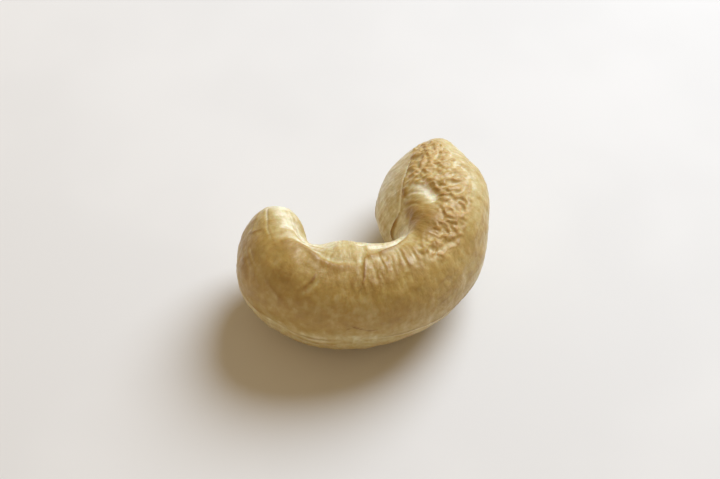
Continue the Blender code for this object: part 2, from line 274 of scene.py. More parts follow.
# Broad swellings, valleys and hollows.
swells = {
    # the hump is real relief; it and its crest are also painted paler as a highlight
    "hump": dict(rise=0.40, reach=0.80, power=2.2, tone=0.35, fade=1.2, places=(
        (28.6, 144), (28.1, 140), (27.4, 135), (26.7, 128), (26.0, 122), (25.4, 117))),
    "humpCrestPaintedHighlight": dict(rise=0.03, reach=0.60, tone=0.70, fade=0.8, places=(
        (28.0, 139), (27.3, 134), (26.5, 128), (25.8, 121), (25.1, 115))),
    "humpFoot": dict(rise=0.22, reach=0.15, power=1.8, tone=0.8, fade=0.8, places=(
        (26.0, 167), (25.6, 157), (25.4, 146), (25.0, 138), (24.9, 131))),
    "humpCut": dict(rise=-0.16, reach=0.16, power=1.8, tone=-0.6, stain=0.35, fade=0.6, places=(
        (26.5, 164), (26.1, 157), (25.95, 150), (25.8, 144))),
    "humpSide": dict(rise=0.20, reach=0.15, power=1.8, tone=0.6, fade=0.8, places=(
        (26.9, 163), (27.1, 156), (27.0, 150), (26.8, 142), (26.5, 136))),
    "shelf": dict(rise=0.08, reach=0.55, tone=0.20, places=((25.0, 171), (24.0, 166), (23.2, 162))),
    # a real ridge, painted paler as a highlight, with painted shadow in the groove below it
    "diagonal": dict(rise=0.15, reach=0.15, power=1.8, tone=0.7, fade=0.5, places=(
        (28.7, 140), (28.2, 135.5), (27.7, 129), (27.15, 122.5), (26.8, 116.5))),
    "underDiagonalPaintedShadow": dict(rise=-0.16, reach=0.24, power=1.8, tone=-1.3, fade=0.5, places=(
        (28.0, 130), (27.4, 125.5), (26.9, 121), (26.4, 117))),
    "valley": dict(rise=-0.20, reach=0.42, tone=-1.5, stain=0.12, fade=0.5, places=(
        (27.5, 126), (27.0, 121), (26.4, 115.5), (25.7, 111.5), (25.0, 108.5))),
    "wedge": dict(rise=-0.24, reach=0.34, power=2.2, tone=-1.4, stain=0.2, fade=0.3, places=(
        (28.2, 157.5), (27.5, 158), (26.9, 160))),
    "hollow": dict(rise=-0.40, reach=1.00, tone=-1.9, stain=0.15, places=(
        (24.8, 150), (24.3, 143), (23.7, 134), (23.2, 124), (22.9, 116))),
    "hollowLow": dict(rise=-0.22, reach=0.66, tone=-1.2, places=(
        (22.9, 144), (22.2, 134), (21.7, 123), (21.5, 116))),
    "hollowRed": dict(rise=-0.10, reach=0.50, tone=-0.9, stain=0.40, fade=0.3, places=(
        (24.5, 149), (23.9, 144), (23.5, 139))),
    "dimple": dict(rise=-0.07, reach=0.42, tone=-0.7, stain=0.12, places=((8.4, 69), (8.9, 65))),
    "ochreAtCrack": dict(rise=-0.05, reach=0.50, tone=-0.4, places=((14.0, 92), (13.7, 83), (13.6, 76))),
    "ochreAtLip": dict(rise=-0.14, reach=0.32, tone=-1.0, places=((15.4, 104), (16.1, 105.5), (16.9, 106))),
    "ochreAtBand": dict(rise=-0.03, reach=0.45, tone=-0.45, places=((7.3, 95), (8.0, 99))),
    "oliveAtSeam": dict(rise=-0.03, reach=0.90, tone=-0.35, places=((13.1, 34), (13.2, 22))),
    "bumpAtCrack": dict(rise=0.34, reach=0.50, tone=0.4, places=((15.0, 131), (15.1, 133))),
    "shoulder": dict(rise=0.22, reach=1.60, places=((2.4, 64), (3.0, 62))),
    "innerRidge": dict(rise=0.80, reach=1.35, fade=12.0, places=(
        (3.4, 147), (5.0, 139), (7.2, 131), (9.4, 128), (12.0, 129))),
    "lowerHalf": dict(rise=0.45, reach=1.10, fade=2.0, places=(
        (24.2, 206), (22.4, 203), (20.0, 200), (17.5, 198))),
}

# Wide patches of the skin that are darker or paler than the rest, with no relief of their own.
tones = {
    # painted shade: the belly faces away from the lamp and is darkened, partly also the kernel's own tan
    "belly": dict(reach=3.6, power=4.0, tone=-1.00, places=(
        (3.6, 48), (8.0, 46), (13.0, 46), (18.0, 46), (22.0, 42))),
    "rightSide": dict(reach=1.9, power=3.0, tone=-0.40, places=((23.5, 44), (27.0, 52), (31.0, 66))),
    # painted light: the inner edge of the bend that faces the lamp, painted paler
    "band": dict(reach=1.25, power=3.5, tone=0.75, places=(
        (1.6, 112), (4.0, 120), (6.0, 130), (8.0, 130), (10.0, 127))),
    "underBandShade": dict(reach=0.75, power=2.4, tone=-0.85, places=(
        (6.9, 88), (7.7, 93), (9.2, 95), (10.5, 93.5), (11.6, 91))),
    # painted shade on the upper belly, where the lamp still reaches
    "bellyUpperPaintedShade": dict(reach=1.5, power=3.0, tone=-0.60, places=(
        (9.5, 74), (11.5, 79), (13.5, 80), (15.6, 78))),
    "fanShade": dict(reach=1.2, power=2.6, tone=-0.45, places=((18.2, 98), (20.2, 104), (21.6, 110))),
    "crackSide": dict(reach=0.9, power=2.4, tone=-0.45, places=((12.2, 112), (14.4, 112))),
    # painted light along the lit lip of the bend
    "lipBandPaintedLight": dict(reach=0.9, power=3.0, tone=0.50, places=(
        (15.6, 126), (17.0, 130), (19.6, 143), (21.6, 160))),
    # painted light: the blunt tip painted paler where it catches the lamp
    "tipFacePaintedLight": dict(reach=1.3, power=2.5, tone=0.40, places=((1.6, 75), (2.4, 50), (3.0, 25))),
    "tipTopPaintedLight": dict(reach=1.0, power=2.5, tone=0.30, places=((1.2, 96), (2.6, 104), (4.4, 108))),
    "crumpled": dict(reach=1.8, power=2.5, tone=-0.95, places=(
        (22.6, 96), (24.6, 96), (26.8, 102), (28.8, 116), (30.6, 128), (33.0, 142))),
    "farRim": dict(reach=0.9, power=2.5, tone=0.10, places=((25.0, 78), (28.5, 84), (31.5, 98))),
    # painted reflected light: the inner face that looks away from the lamp, painted paler
    "inside": dict(reach=2.6, power=3.0, tone=0.35, places=((26.0, 200), (29.0, 196), (32.5, 190))),
    # painted rim light: a thin paler band along the outer outline
    "outerRimPaintedLight": dict(reach=0.42, tone=0.50, places=(
        (2.6, 4), (8.0, 3), (13.0, 2), (20.0, 4), (27.0, 4), (34.0, 2))),
    "lowerSide": dict(reach=2.0, power=2.6, tone=-0.70, places=(
        (3.0, 328), (8.0, 325), (14.0, 324), (20.0, 325), (28.0, 328), (33.0, 332))),
    "below": dict(reach=3.4, power=4.0, tone=-0.60, places=(
        (4.0, 276), (12.0, 272), (20.0, 272), (30.0, 280))),
}

# Small dark specks on the skin. The last number at each place is how wide the speck is, in mm.
specks = {
    "rise": -0.04,
    "stain": 1.4,
    "places": ((13.1, 39, 0.08), (13.0, 20, 0.07), (13.0, 15, 0.08), (12.3, 15, 0.06), (11.0, 100, 0.06),
               (18.4, 40, 0.06), (6.4, 40, 0.05), (21.0, 300, 0.07), (5.0, 250, 0.06), (27.0, 60, 0.05)),
}

# Folds that fan out from the inside of the bend: small ones, then larger ones towards the taper.
fanFolds = {
    "small": dict(first=16.4, last=20.3, count=10, inner=(110, 123), outer=(87, 90), lean=-0.30,
        rise=0.065, reach=0.120, seed=3),
    "faint": dict(first=15.2, last=21.0, count=12, inner=(96, 100), outer=(68, 80), lean=-0.4,
        rise=0.022, reach=0.13, seed=4),
    "large": dict(first=20.2, last=22.8, count=5, inner=(119, 108), outer=(90, 86), lean=-0.8,
        rise=0.150, reach=0.18, seed=8),
    "ripples": dict(first=23.7, last=25.5, count=5, inner=(121, 127), outer=(109, 113), lean=-0.2,
        rise=0.150, reach=0.12, seed=9),
    "under": dict(first=13.0, last=23.0, count=17, inner=(226, 226), outer=(262, 262), lean=0.0,
        rise=0.09, reach=0.16, seed=5),
}

# How unlike each other the folds of a fan are.
fanDraws = {"place": 0.32, "start": 3, "length": (0.35, 1.25), "sway": 0.40, "bow": (0.2, 2.2),
            "strength": (0.25, 1.45), "width": (0.7, 1.2)}
fanProfile = {"power": 1.6, "fade": 0.9, "ridgeTone": 0.45, "furrowTone": -0.3, "furrowDepth": 0.9,
              "furrowStain": 0.12, "furrowLonger": 5}

# Fine wrinkles that run side by side: where the first and the last one go, and how many lie between.
wrinkles = {
    "hump": dict(count=7, rise=-0.075, reach=0.085, stain=0.30, seed=21,
        first=((26.2, 150), (25.9, 138), (25.4, 126)), last=((28.2, 150), (27.8, 138), (26.9, 126))),
    "lip": dict(count=9, rise=-0.060, reach=0.085, stain=0.30, seed=22,
        first=((7.5, 116), (10.0, 118), (13.0, 113)), last=((7.0, 100), (9.5, 101), (13.0, 95))),
    "lipStreak": dict(count=6, rise=-0.030, reach=0.080, stain=0.20, seed=23,
        first=((15.6, 126), (17.6, 132), (20.2, 150)), last=((16.0, 114), (18.2, 120), (20.6, 134))),
    "arm": dict(count=9, rise=-0.080, reach=0.095, stain=0.30, seed=24,
        first=((2.4, 124), (4.2, 126), (6.0, 132)), last=((2.6, 94), (4.4, 97), (6.2, 104))),
    "tip": dict(count=6, rise=-0.045, reach=0.10, stain=0.25, seed=30,
        first=((1.4, 80), (2.4, 70), (4.4, 62)), last=((1.8, 60), (3.4, 44), (6.2, 36))),
    "rim": dict(count=9, rise=-0.045, reach=0.12, stain=0.25, seed=25,
        first=((18.0, 20), (23.0, 26), (29.0, 34)), last=((19.0, 50), (23.5, 58), (28.0, 64))),
    "edge": dict(count=6, rise=-0.050, reach=0.11, stain=0.20, seed=31,
        first=((27.5, 66), (30.0, 74), (33.0, 88)), last=((27.5, 82), (29.6, 90), (32.4, 104))),
    "belly": dict(count=11, rise=-0.030, reach=0.10, stain=0.20, seed=26,
        first=((10.8, 92), (10.9, 76), (11.0, 60)), last=((15.4, 86), (15.8, 68), (16.2, 50))),
    "back": dict(count=8, rise=-0.035, reach=0.11, stain=0.20, seed=27,
        first=((5.0, 30), (5.6, 48), (6.4, 66)), last=((9.8, 28), (9.4, 40), (9.2, 52))),
    "under": dict(count=14, rise=-0.035, reach=0.12, stain=0.20, seed=28,
        first=((3.0, 250), (9.0, 252), (15.0, 256)), last=((3.5, 320), (9.0, 326), (16.0, 330))),
    "tail": dict(count=16, rise=-0.035, reach=0.12, stain=0.20, seed=29,
        first=((24.0, 240), (28.0, 236), (33.0, 228)), last=((24.0, 330), (28.0, 336), (33.0, 344))),
}

# How unlike each other the wrinkles of a group are.
wrinkleDraws = {"place": 0.25, "wander": (0.05, 0.7), "start": (0.0, 0.35), "end": (0.65, 1.0),
                "strength": (0.6, 1.3)}
wrinkleProfile = {"power": 1.5, "fade": 0.8}

# The crumpled patch on the tapering arm: its lower and upper edge in degrees at some s, and its folds.
crumple = {
    "lowEdge": ((19.0, 92), (20.5, 72), (22.0, 68), (24.0, 78), (26.0, 82), (28.0, 87), (31.0, 98),
                (33.5, 113), (36.0, 150)),
    "highEdge": ((19.0, 93), (20.0, 96), (21.6, 104), (23.0, 107), (24.5, 112), (25.6, 113), (26.6, 122),
                 (27.4, 134), (28.1, 148), (29.0, 157), (31.0, 158), (33.0, 164), (36.0, 180)),
    "softness": 14.0,             # of its edges, in degrees
    "span": (19.2, 34.4, 2.0),    # from s, to s, softness in mm
    "fold": 0.95,                 # mm from one fold to the next, along the kernel
    "stretch": 0.80,              # how much closer the pattern is along the kernel than round it
    "depth": 0.26,
    "detail": 2.0,
    "foldEdges": (0.30, 0.70),
    "warp": 0.75,                 # how far the pattern wanders, and over how many mm
    "warpPitch": 1.6,
    "smallFold": 0.90,
    "smallDepth": 0.16,
    "smallDetail": 1.2,
    "smallCrease": 0.16,          # how wide the creases between the small folds are
    "smallLevel": 0.6,            # how much of a small fold's height lies under the skin
    "smallShift": (31.0, 7.0, 3.0),
    "ridgeScale": 1.9,            # the finest ridges: how much finer, and their share of the depth
    "ridgeShare": 0.15,
    "ridgeDetail": 1.5,
    "ridgeCrease": 0.15,
    "ridgeShift": (5.0, 17.0, 9.0),
}

# The unevenness of the whole skin: shallow dents, and wrinkles that run round the kernel.
unevenness = {"dent": 1.4, "dentDepth": 0.24, "wrinkle": 0.50, "wrinkleDepth": 0.120, "detail": 2.0,
              "wrinkleStretch": (1.1, 1.1, 1.0), "wrinkleDrift": 0.5}

# How far a line's stain and tone spread past its reach, and how often the relief is blurred to find
# what lies deeper or higher than the skin round it; the colour is darkened there as painted shade and paled
# on ridges as painted light.
spread = {"stain": 1.25, "stainPower": 2.0, "tone": 1.2, "blurs": 14}


def linePoints(places, spacing=0.06, steps=40, straightSteps=12):     # even points along a line
    places = np.array(places, float)
    knots = np.arange(len(places), dtype=float)
    if len(places) > 2:
        run = naturalSpline(knots, places, np.linspace(0.0, knots[-1], steps * (len(places) - 1) + 1))
    else:
        run = places[0] + (places[1] - places[0]) * np.linspace(0, 1, straightSteps)[:, None]
    points = onShell(spine, run[:, 0], run[:, 1])
    arc = np.r_[0.0, np.cumsum(np.linalg.norm(np.diff(points, axis=0), axis=1))]
    even = np.linspace(0.0, arc[-1], max(3, int(arc[-1] / spacing)))
    return np.stack([np.interp(even, arc, column) for column in points.T], -1), even


def fanLines(fan):     # one ridge and one furrow for each fold of a fan
    rng = np.random.default_rng(fan["seed"])
    step = (fan["last"] - fan["first"]) / (fan["count"] - 1)
    turn = 1 if fan["outer"][0] > fan["inner"][0] else -1
    ridge = (0.0, fan["rise"], fanProfile["ridgeTone"], 0.0, 0)
    furrow = (0.5 * step, -fanProfile["furrowDepth"] * fan["rise"], fanProfile["furrowTone"],
              fanProfile["furrowStain"], fanProfile["furrowLonger"] * turn)
    for k in range(fan["count"]):
        place = k / (fan["count"] - 1)
        s = fan["first"] + k * step + rng.uniform(-fanDraws["place"], fanDraws["place"]) * step
        inner = fan["inner"][0] + (fan["inner"][1] - fan["inner"][0]) * place
        inner += rng.uniform(-fanDraws["start"], fanDraws["start"])
        outer = fan["outer"][0] + (fan["outer"][1] - fan["outer"][0]) * place
        outer = inner + (outer - inner) * rng.uniform(*fanDraws["length"])
        sway = rng.uniform(-fanDraws["sway"], fanDraws["sway"], 4) * step
        bow = fan["lean"] * rng.uniform(*fanDraws["bow"])
        strength = rng.uniform(*fanDraws["strength"])
        for shift, rise, tone, stain, longer in (ridge, furrow):
            end = outer + longer
            places = [(s + shift + sway[i] + bow * share ** 2, inner + (end - inner) * share)
                      for i, share in enumerate((0.0, 0.35, 0.7, 1.0))]
            yield {"places": places, "rise": rise * strength,
                   "reach": fan["reach"] * rng.uniform(*fanDraws["width"]), "power": fanProfile["power"],
                   "tone": tone * min(strength, 1.0), "stain": stain, "fade": fanProfile["fade"]}


def wrinkleLines(group):     # lines between the first and the last, each cut at its own length
    rng = np.random.default_rng(group["seed"])
    first, last = np.array(group["first"], float), np.array(group["last"], float)
    for k in range(group["count"]):
        share = (k + rng.uniform(-wrinkleDraws["place"], wrinkleDraws["place"])) / (group["count"] - 1)
        places = first + (last - first) * share + rng.normal(size=first.shape) * wrinkleDraws["wander"]
        low, high = rng.uniform(*wrinkleDraws["start"]), rng.uniform(*wrinkleDraws["end"])
        run = naturalSpline(np.arange(3.0), places, np.linspace(2 * low, 2 * high, 4))
        yield {"places": run, "rise": group["rise"] * rng.uniform(*wrinkleDraws["strength"]),
               "reach": group["reach"], "stain": group["stain"], **wrinkleProfile}


def endFade(line, even):     # 0 at the line's ends and 1 between them, or 1 where it doesn't fade
    length = even[-1]
    if "fade" not in line:
        return np.ones_like(even)
    if line["fade"] < length:
        return np.clip(np.minimum(even, length - even) / line["fade"], 0.0, 1.0) ** 0.5
    return np.sin(np.pi * even / length)


def makeLineObject():     # every line as loose points with its sizes, one number for each line
    lines = [line for marks in (tones, swells, seams, creases) for line in marks.values()]
    for fan in fanFolds.values():
        lines += list(fanLines(fan))
    for group in wrinkles.values():
        lines += list(wrinkleLines(group))
    for s, angle, reach in specks["places"]:
        lines.append({"places": ((s, angle), (s + reach, angle)), "rise": specks["rise"], "reach": reach,
                      "stain": specks["stain"]})
    points, number = [], []
    sizes = {"rise": [], "reach": [], "power": [], "stainAt": [], "toneAt": []}
    for k, line in enumerate(lines):
        line = {**plainLine, **line}
        run, even = linePoints(line["places"])
        fade, full = endFade(line, even), np.ones_like(even)
        points.append(run)
        number += [k] * len(run)
        sizes["rise"] += list(line["rise"] * fade)
        sizes["reach"] += list(line["reach"] * full)
        sizes["power"] += list(line["power"] * full)
        sizes["stainAt"] += list(line["stain"] * fade)
        sizes["toneAt"] += list(line["tone"] * fade)
    mesh = bpy.data.meshes.new("kernelLines")
    mesh.from_pydata(np.concatenate(points).tolist(), [], [])
    mesh.attributes.new("line", "INT", "POINT").data.foreach_set("value", number)
    for name, values in sizes.items():
        mesh.attributes.new(name, "FLOAT", "POINT").data.foreach_set("value", values)
    lineObject = addObject("kernelLines", mesh)
    print("lines on the kernel:", len(lines), "with", len(number), "points")
    return lineObject, len(lines)


def lump(points):     # the slow unevenness that the solid has too
    return -kernel["lumpDepth"] * softNoise(points, kernel["lumpPitch"], kernel["lumpSeed"])


def makeShellObject():     # the smooth kernel in mm, with where each point is on it
    start, end, extra = kernel["denseRings"]
    dense = (start / spine["length"], end / spine["length"], extra)
    s = alongSpine(spine["length"], unevenSteps(0.0, 1.0, kernel["rings"], dense, False))
    angle = unevenSteps(0.0, 360.0, kernel["columns"], kernel["denseColumns"], True)
    s, angle = np.meshgrid(s, angle, indexing="ij")
    smooth = onShell(spine, s, angle)
    along = np.gradient(smooth, axis=0)
    around = np.roll(smooth, -1, axis=1) - np.roll(smooth, 1, axis=1)
    outward = np.cross(along, around)
    outward /= np.linalg.norm(outward, axis=-1)[..., None]
    body = smooth + outward * lump(smooth)[..., None]
    for place, swell in kernel["restSpots"]:
        middle = onShell(spine, *np.array([place]).T)[0]
        sideways = np.linalg.norm((smooth - middle)[..., :2], axis=-1)
        under = window(angle, *kernel["underside"], kernel["undersideEdge"])
        body[..., 2] -= swell * bell(sideways, kernel["restRadius"]) * under
    tips = spine["path"][[0, -1]]
    tips = tips + spine["tangent"][[0, -1]] * np.array([[-1.0], [1.0]]) * lump(tips)[:, None]

    rings, columns = s.shape
    corner = np.arange(rings * columns).reshape(rings, columns)
    after = np.roll(corner, -1, axis=1)
    quads = np.stack([corner[:-1], after[:-1], after[1:], corner[1:]], -1).reshape(-1, 4).tolist()
    first, last = rings * columns, rings * columns + 1
    quads += [(first, b, a) for a, b in zip(corner[0].tolist(), after[0].tolist())]
    quads += [(last, a, b) for a, b in zip(corner[-1].tolist(), after[-1].tolist())]
    mesh = bpy.data.meshes.new("kernelShell")
    mesh.from_pydata(np.concatenate([body.reshape(-1, 3), tips]).tolist(), [], quads)

    flatS = np.r_[s.ravel(), 0.0, spine["length"]]
    flatAngle = np.r_[angle.ravel(), 0.0, 0.0]
    low = np.interp(flatS, *np.array(crumple["lowEdge"], float).T)
    high = np.interp(flatS, *np.array(crumple["highEdge"], float).T)
    patch = window(flatAngle, low, high, crumple["softness"]) * window(flatS, *crumple["span"])
    mesh.attributes.new("crumpled", "FLOAT", "POINT").data.foreach_set("value", patch)
    flatAcross = flatAngle * kernel["mmPerDegree"] * crumple["stretch"]
    unrolled = np.stack([flatS, flatAcross, np.zeros_like(flatS)], -1)
    mesh.attributes.new("unrolled", "FLOAT_VECTOR", "POINT").data.foreach_set("vector", unrolled.ravel())
    turn = np.radians(flatAngle)
    place = np.stack([np.cos(turn), np.sin(turn), flatS], -1)
    mesh.attributes.new("place", "FLOAT_VECTOR", "POINT").data.foreach_set("vector", place.ravel())
    shell = addObject("kernelShell", mesh)
    return shell


# Small helpers for building a node tree.
def put(tree, kind, inputs=None, **settings):
    node = tree.nodes.new(kind)
    for name, value in settings.items():
        setattr(node, name, value)
    for key, value in (inputs or {}).items():
        if isinstance(value, bpy.types.NodeSocket):
            tree.links.new(value, node.inputs[key])
        else:
            node.inputs[key].default_value = value
    return node


def maths(tree, operation, first, second=0.0, third=0.0):
    return put(tree, "ShaderNodeMath", {0: first, 1: second, 2: third}, operation=operation).outputs[0]


def vectors(tree, operation, first, second=(0.0, 0.0, 0.0), output=0):
    return put(tree, "ShaderNodeVectorMath", {0: first, 1: second}, operation=operation).outputs[output]


def scaled(tree, vector, factor):
    return put(tree, "ShaderNodeVectorMath", {0: vector, "Scale": factor}, operation="SCALE").outputs[0]


def ramp(tree, value, low, high, fromLow=0.0, fromHigh=1.0):     # smooth step between two values
    return put(tree, "ShaderNodeMapRange", {"Value": value, "From Min": low, "From Max": high,
                                            "To Min": fromLow, "To Max": fromHigh},
               interpolation_type="SMOOTHSTEP").outputs[0]


def named(tree, name, kind="FLOAT"):
    return put(tree, "GeometryNodeInputNamedAttribute", {"Name": name}, data_type=kind).outputs[0]


def stored(tree, geometry, name, value):
    return put(tree, "GeometryNodeStoreNamedAttribute", {"Geometry": geometry, "Name": name, "Value": value},
               data_type="FLOAT", domain="POINT").outputs[0]


def addSocket(tree, name, kind, value=None, way="INPUT"):
    socket = tree.interface.new_socket(name=name, in_out=way, socket_type=kind)
    if value is not None:
        socket.default_value = value
    return socket.identifier


def buildReliefTree(lineCount):
    tree = bpy.data.node_groups.new("kernelRelief", "GeometryNodeTree")
    sockets = {"Geometry": addSocket(tree, "Geometry", "NodeSocketGeometry")}
    sockets["Lines"] = addSocket(tree, "Lines", "NodeSocketObject")
    sockets["Line Count"] = addSocket(tree, "Line Count", "NodeSocketInt", lineCount)
    for name, value in (("Fold", crumple["fold"]), ("Depth", crumple["depth"]),
                        ("Small Fold", crumple["smallFold"]), ("Small Depth", crumple["smallDepth"]),
                        ("Warp", crumple["warp"]),
                        ("Dent", unevenness["dent"]), ("Dent Depth", unevenness["dentDepth"]),
                        ("Wrinkle", unevenness["wrinkle"]), ("Wrinkle Depth", unevenness["wrinkleDepth"])):
        sockets[name] = addSocket(tree, name, "NodeSocketFloat", value)
    sockets["Rest Level"] = addSocket(tree, "Rest Level", "NodeSocketFloat", kernel["restLevel"])
    sockets["Skin"] = addSocket(tree, "Skin", "NodeSocketMaterial")
    addSocket(tree, "Geometry", "NodeSocketGeometry", way="OUTPUT")
    given = tree.nodes.new("NodeGroupInput").outputs
    position = put(tree, "GeometryNodeInputPosition").outputs[0]
    normal = put(tree, "GeometryNodeInputNormal").outputs[0]

    # every line in turn: relief and tone are added up, and the deepest stain stays
    start = given["Geometry"]
    for name in ("relief", "stain", "tone"):
        start = stored(tree, start, name, 0.0)
    loopIn = tree.nodes.new("GeometryNodeRepeatInput")
    loopOut = tree.nodes.new("GeometryNodeRepeatOutput")
    loopIn.pair_with_output(loopOut)
    tree.links.new(given["Line Count"], loopIn.inputs["Iterations"])
    tree.links.new(start, loopIn.inputs["Geometry"])
    allLines = put(tree, "GeometryNodeObjectInfo", {"Object": given["Lines"]}, transform_space="ORIGINAL")
    isThis = put(tree, "FunctionNodeCompare", {2: named(tree, "line", "INT"), 3: loopIn.outputs["Iteration"]},
                 data_type="INT", operation="EQUAL").outputs[0]
    line = put(tree, "GeometryNodeSeparateGeometry",
               {"Geometry": allLines.outputs["Geometry"], "Selection": isThis}, domain="POINT").outputs[0]
    nearest = put(tree, "GeometryNodeSampleNearest", {"Geometry": line}, domain="POINT").outputs[0]

    def fromLine(value, kind="FLOAT"):
        return put(tree, "GeometryNodeSampleIndex", {"Geometry": line, "Value": value, "Index": nearest},
                   data_type=kind, domain="POINT").outputs[0]

    distance = vectors(tree, "DISTANCE", position, fromLine(position, "FLOAT_VECTOR"), "Value")
    share = maths(tree, "DIVIDE", distance, fromLine(named(tree, "reach")))
    power = fromLine(named(tree, "power"))

    def falloff(wider, power):     # 1 on the line, less away from it
        raised = maths(tree, "POWER", maths(tree, "DIVIDE", share, wider), power)
        return maths(tree, "EXPONENT", maths(tree, "MULTIPLY", raised, -1.0))

    def addLine(name, profile, strength):
        return maths(tree, "MULTIPLY_ADD", profile, fromLine(named(tree, strength)), named(tree, name))

    newTone = addLine("tone", falloff(spread["tone"], power), "toneAt")
    newRelief = addLine("relief", falloff(1.0, power), "rise")
    stained = maths(tree, "MULTIPLY", falloff(spread["stain"], spread["stainPower"]),
                    fromLine(named(tree, "stainAt")))
    newStain = maths(tree, "MAXIMUM", named(tree, "stain"), stained)
    step = loopIn.outputs["Geometry"]
    for name, value in (("relief", newRelief), ("stain", newStain), ("tone", newTone)):
        step = stored(tree, step, name, value)
    tree.links.new(step, loopOut.inputs["Geometry"])

    # the crumple: rounded folds, smaller ones with sharp creases between them, and fine ridges
    def noise(vector, pitch, detail=1.0):
        return put(tree, "ShaderNodeTexNoise", {"Vector": vector, "Scale": maths(tree, "DIVIDE", 1.0, pitch),
                                                "Detail": detail})

    drift = noise(position, crumple["warpPitch"]).outputs["Color"]
    drift = vectors(tree, "SUBTRACT", drift, (0.5, 0.5, 0.5))
    warped = vectors(tree, "ADD", named(tree, "unrolled", "FLOAT_VECTOR"), scaled(tree, drift, given["Warp"]))

    def folds(vector, crease, detail):     # 0 in the creases, 1 on the folds
        swing = maths(tree, "SUBTRACT", noise(vector, given["Small Fold"], detail).outputs["Fac"], 0.5)
        return ramp(tree, maths(tree, "ABSOLUTE", swing), 0.0, crease)

    soft = noise(warped, given["Fold"], crumple["detail"]).outputs["Fac"]
    soft = ramp(tree, soft, *crumple["foldEdges"], -0.5, 0.5)
    smallPlace = vectors(tree, "ADD", warped, crumple["smallShift"])
    creased = folds(smallPlace, crumple["smallCrease"], crumple["smallDetail"])
    creased = maths(tree, "SUBTRACT", creased, crumple["smallLevel"])
    ridgePlace = vectors(tree, "ADD", scaled(tree, warped, crumple["ridgeScale"]), crumple["ridgeShift"])
    ridged = folds(ridgePlace, crumple["ridgeCrease"], crumple["ridgeDetail"])
    ridged = maths(tree, "SUBTRACT", crumple["smallLevel"], ridged)
    ridgeDepth = maths(tree, "MULTIPLY", given["Small Depth"], crumple["ridgeShare"])
    crumpling = maths(tree, "MULTIPLY", soft, given["Depth"])
    crumpling = maths(tree, "MULTIPLY_ADD", creased, given["Small Depth"], crumpling)
    crumpling = maths(tree, "MULTIPLY_ADD", ridged, ridgeDepth, crumpling)
    relief = maths(tree, "MULTIPLY_ADD", crumpling, named(tree, "crumpled"), named(tree, "relief"))

    # the unevenness of the whole skin
    dents = noise(position, given["Dent"], unevenness["detail"]).outputs["Fac"]
    dents = maths(tree, "SUBTRACT", dents, 0.5)
    relief = maths(tree, "MULTIPLY_ADD", dents, given["Dent Depth"], relief)
    place = vectors(tree, "MULTIPLY", named(tree, "place", "FLOAT_VECTOR"), unevenness["wrinkleStretch"])
    place = vectors(tree, "ADD", place, scaled(tree, drift, unevenness["wrinkleDrift"]))
    fine = noise(place, given["Wrinkle"], unevenness["detail"]).outputs["Fac"]
    fine = maths(tree, "SUBTRACT", fine, 0.5)
    relief = maths(tree, "MULTIPLY_ADD", fine, given["Wrinkle Depth"], relief)
    body = stored(tree, loopOut.outputs["Geometry"], "relief", relief)
    # what lies deeper or higher than the skin round it, for painted shade in hollows and painted light on
    # ridges
    blurred = put(tree, "GeometryNodeBlurAttribute", {"Value": named(tree, "relief"),
                                                      "Iterations": spread["blurs"]},
                  data_type="FLOAT").outputs[0]
    body = stored(tree, body, "hollow", maths(tree, "SUBTRACT", blurred, named(tree, "relief")))
    moved = put(tree, "GeometryNodeSetPosition",
                {"Geometry": body, "Offset": scaled(tree, normal, named(tree, "relief"))}).outputs[0]

    # flat where it lies on the surface, then from mm to metres
    parts = put(tree, "ShaderNodeSeparateXYZ", {0: position}).outputs
    floorZ = maths(tree, "MAXIMUM", parts[2], given["Rest Level"])
    flat = put(tree, "ShaderNodeCombineXYZ", {0: parts[0], 1: parts[1], 2: floorZ}).outputs[0]
    rested = put(tree, "GeometryNodeSetPosition", {"Geometry": moved, "Position": flat}).outputs[0]
    small = put(tree, "GeometryNodeTransform", {"Geometry": rested, "Scale": (mm, mm, mm)}).outputs[0]
    smoothed = put(tree, "GeometryNodeSetShadeSmooth", {"Geometry": small}).outputs[0]
    whole = put(tree, "GeometryNodeRealizeInstances", {"Geometry": smoothed}).outputs[0]
    dressed = put(tree, "GeometryNodeSetMaterial", {"Geometry": whole, "Material": given["Skin"]}).outputs[0]
    put(tree, "NodeGroupOutput", {0: dressed})
    return tree, sockets


def makeKernel(skin):
    lineObject, lineCount = makeLineObject()
    shell = makeShellObject()
    tree, sockets = buildReliefTree(lineCount)
    modifier = shell.modifiers.new("kernelRelief", "NODES")
    modifier.node_group = tree
    modifier[sockets["Lines"]] = lineObject
    modifier[sockets["Line Count"]] = lineCount
    modifier[sockets["Skin"]] = skin
    depsgraph = bpy.context.evaluated_depsgraph_get()
    mesh = bpy.data.meshes.new_from_object(shell.evaluated_get(depsgraph), depsgraph=depsgraph)
    for helper in (shell, lineObject):
        bpy.data.objects.remove(helper)
    mesh.name = "cashewSkin"
    places = np.empty(len(mesh.vertices) * 3)
    mesh.vertices.foreach_get("co", places)
    places = places.reshape(-1, 3)
    middle = (places.min(axis=0) + places.max(axis=0)) / 2     # the box goes over the solid's box
    cadMiddle = [(low + high) / 2 for low, high in zip(*cadBox)]
    places += (cadMiddle[0] - middle[0], cadMiddle[1] - middle[1], cadBox[0][2] - places[:, 2].min())
    mesh.vertices.foreach_set("co", places.ravel())
    mesh.update()
    piece = addObject("cashewSkin", mesh)
    print("kernel skin:", len(mesh.polygons), "faces")
    return piece
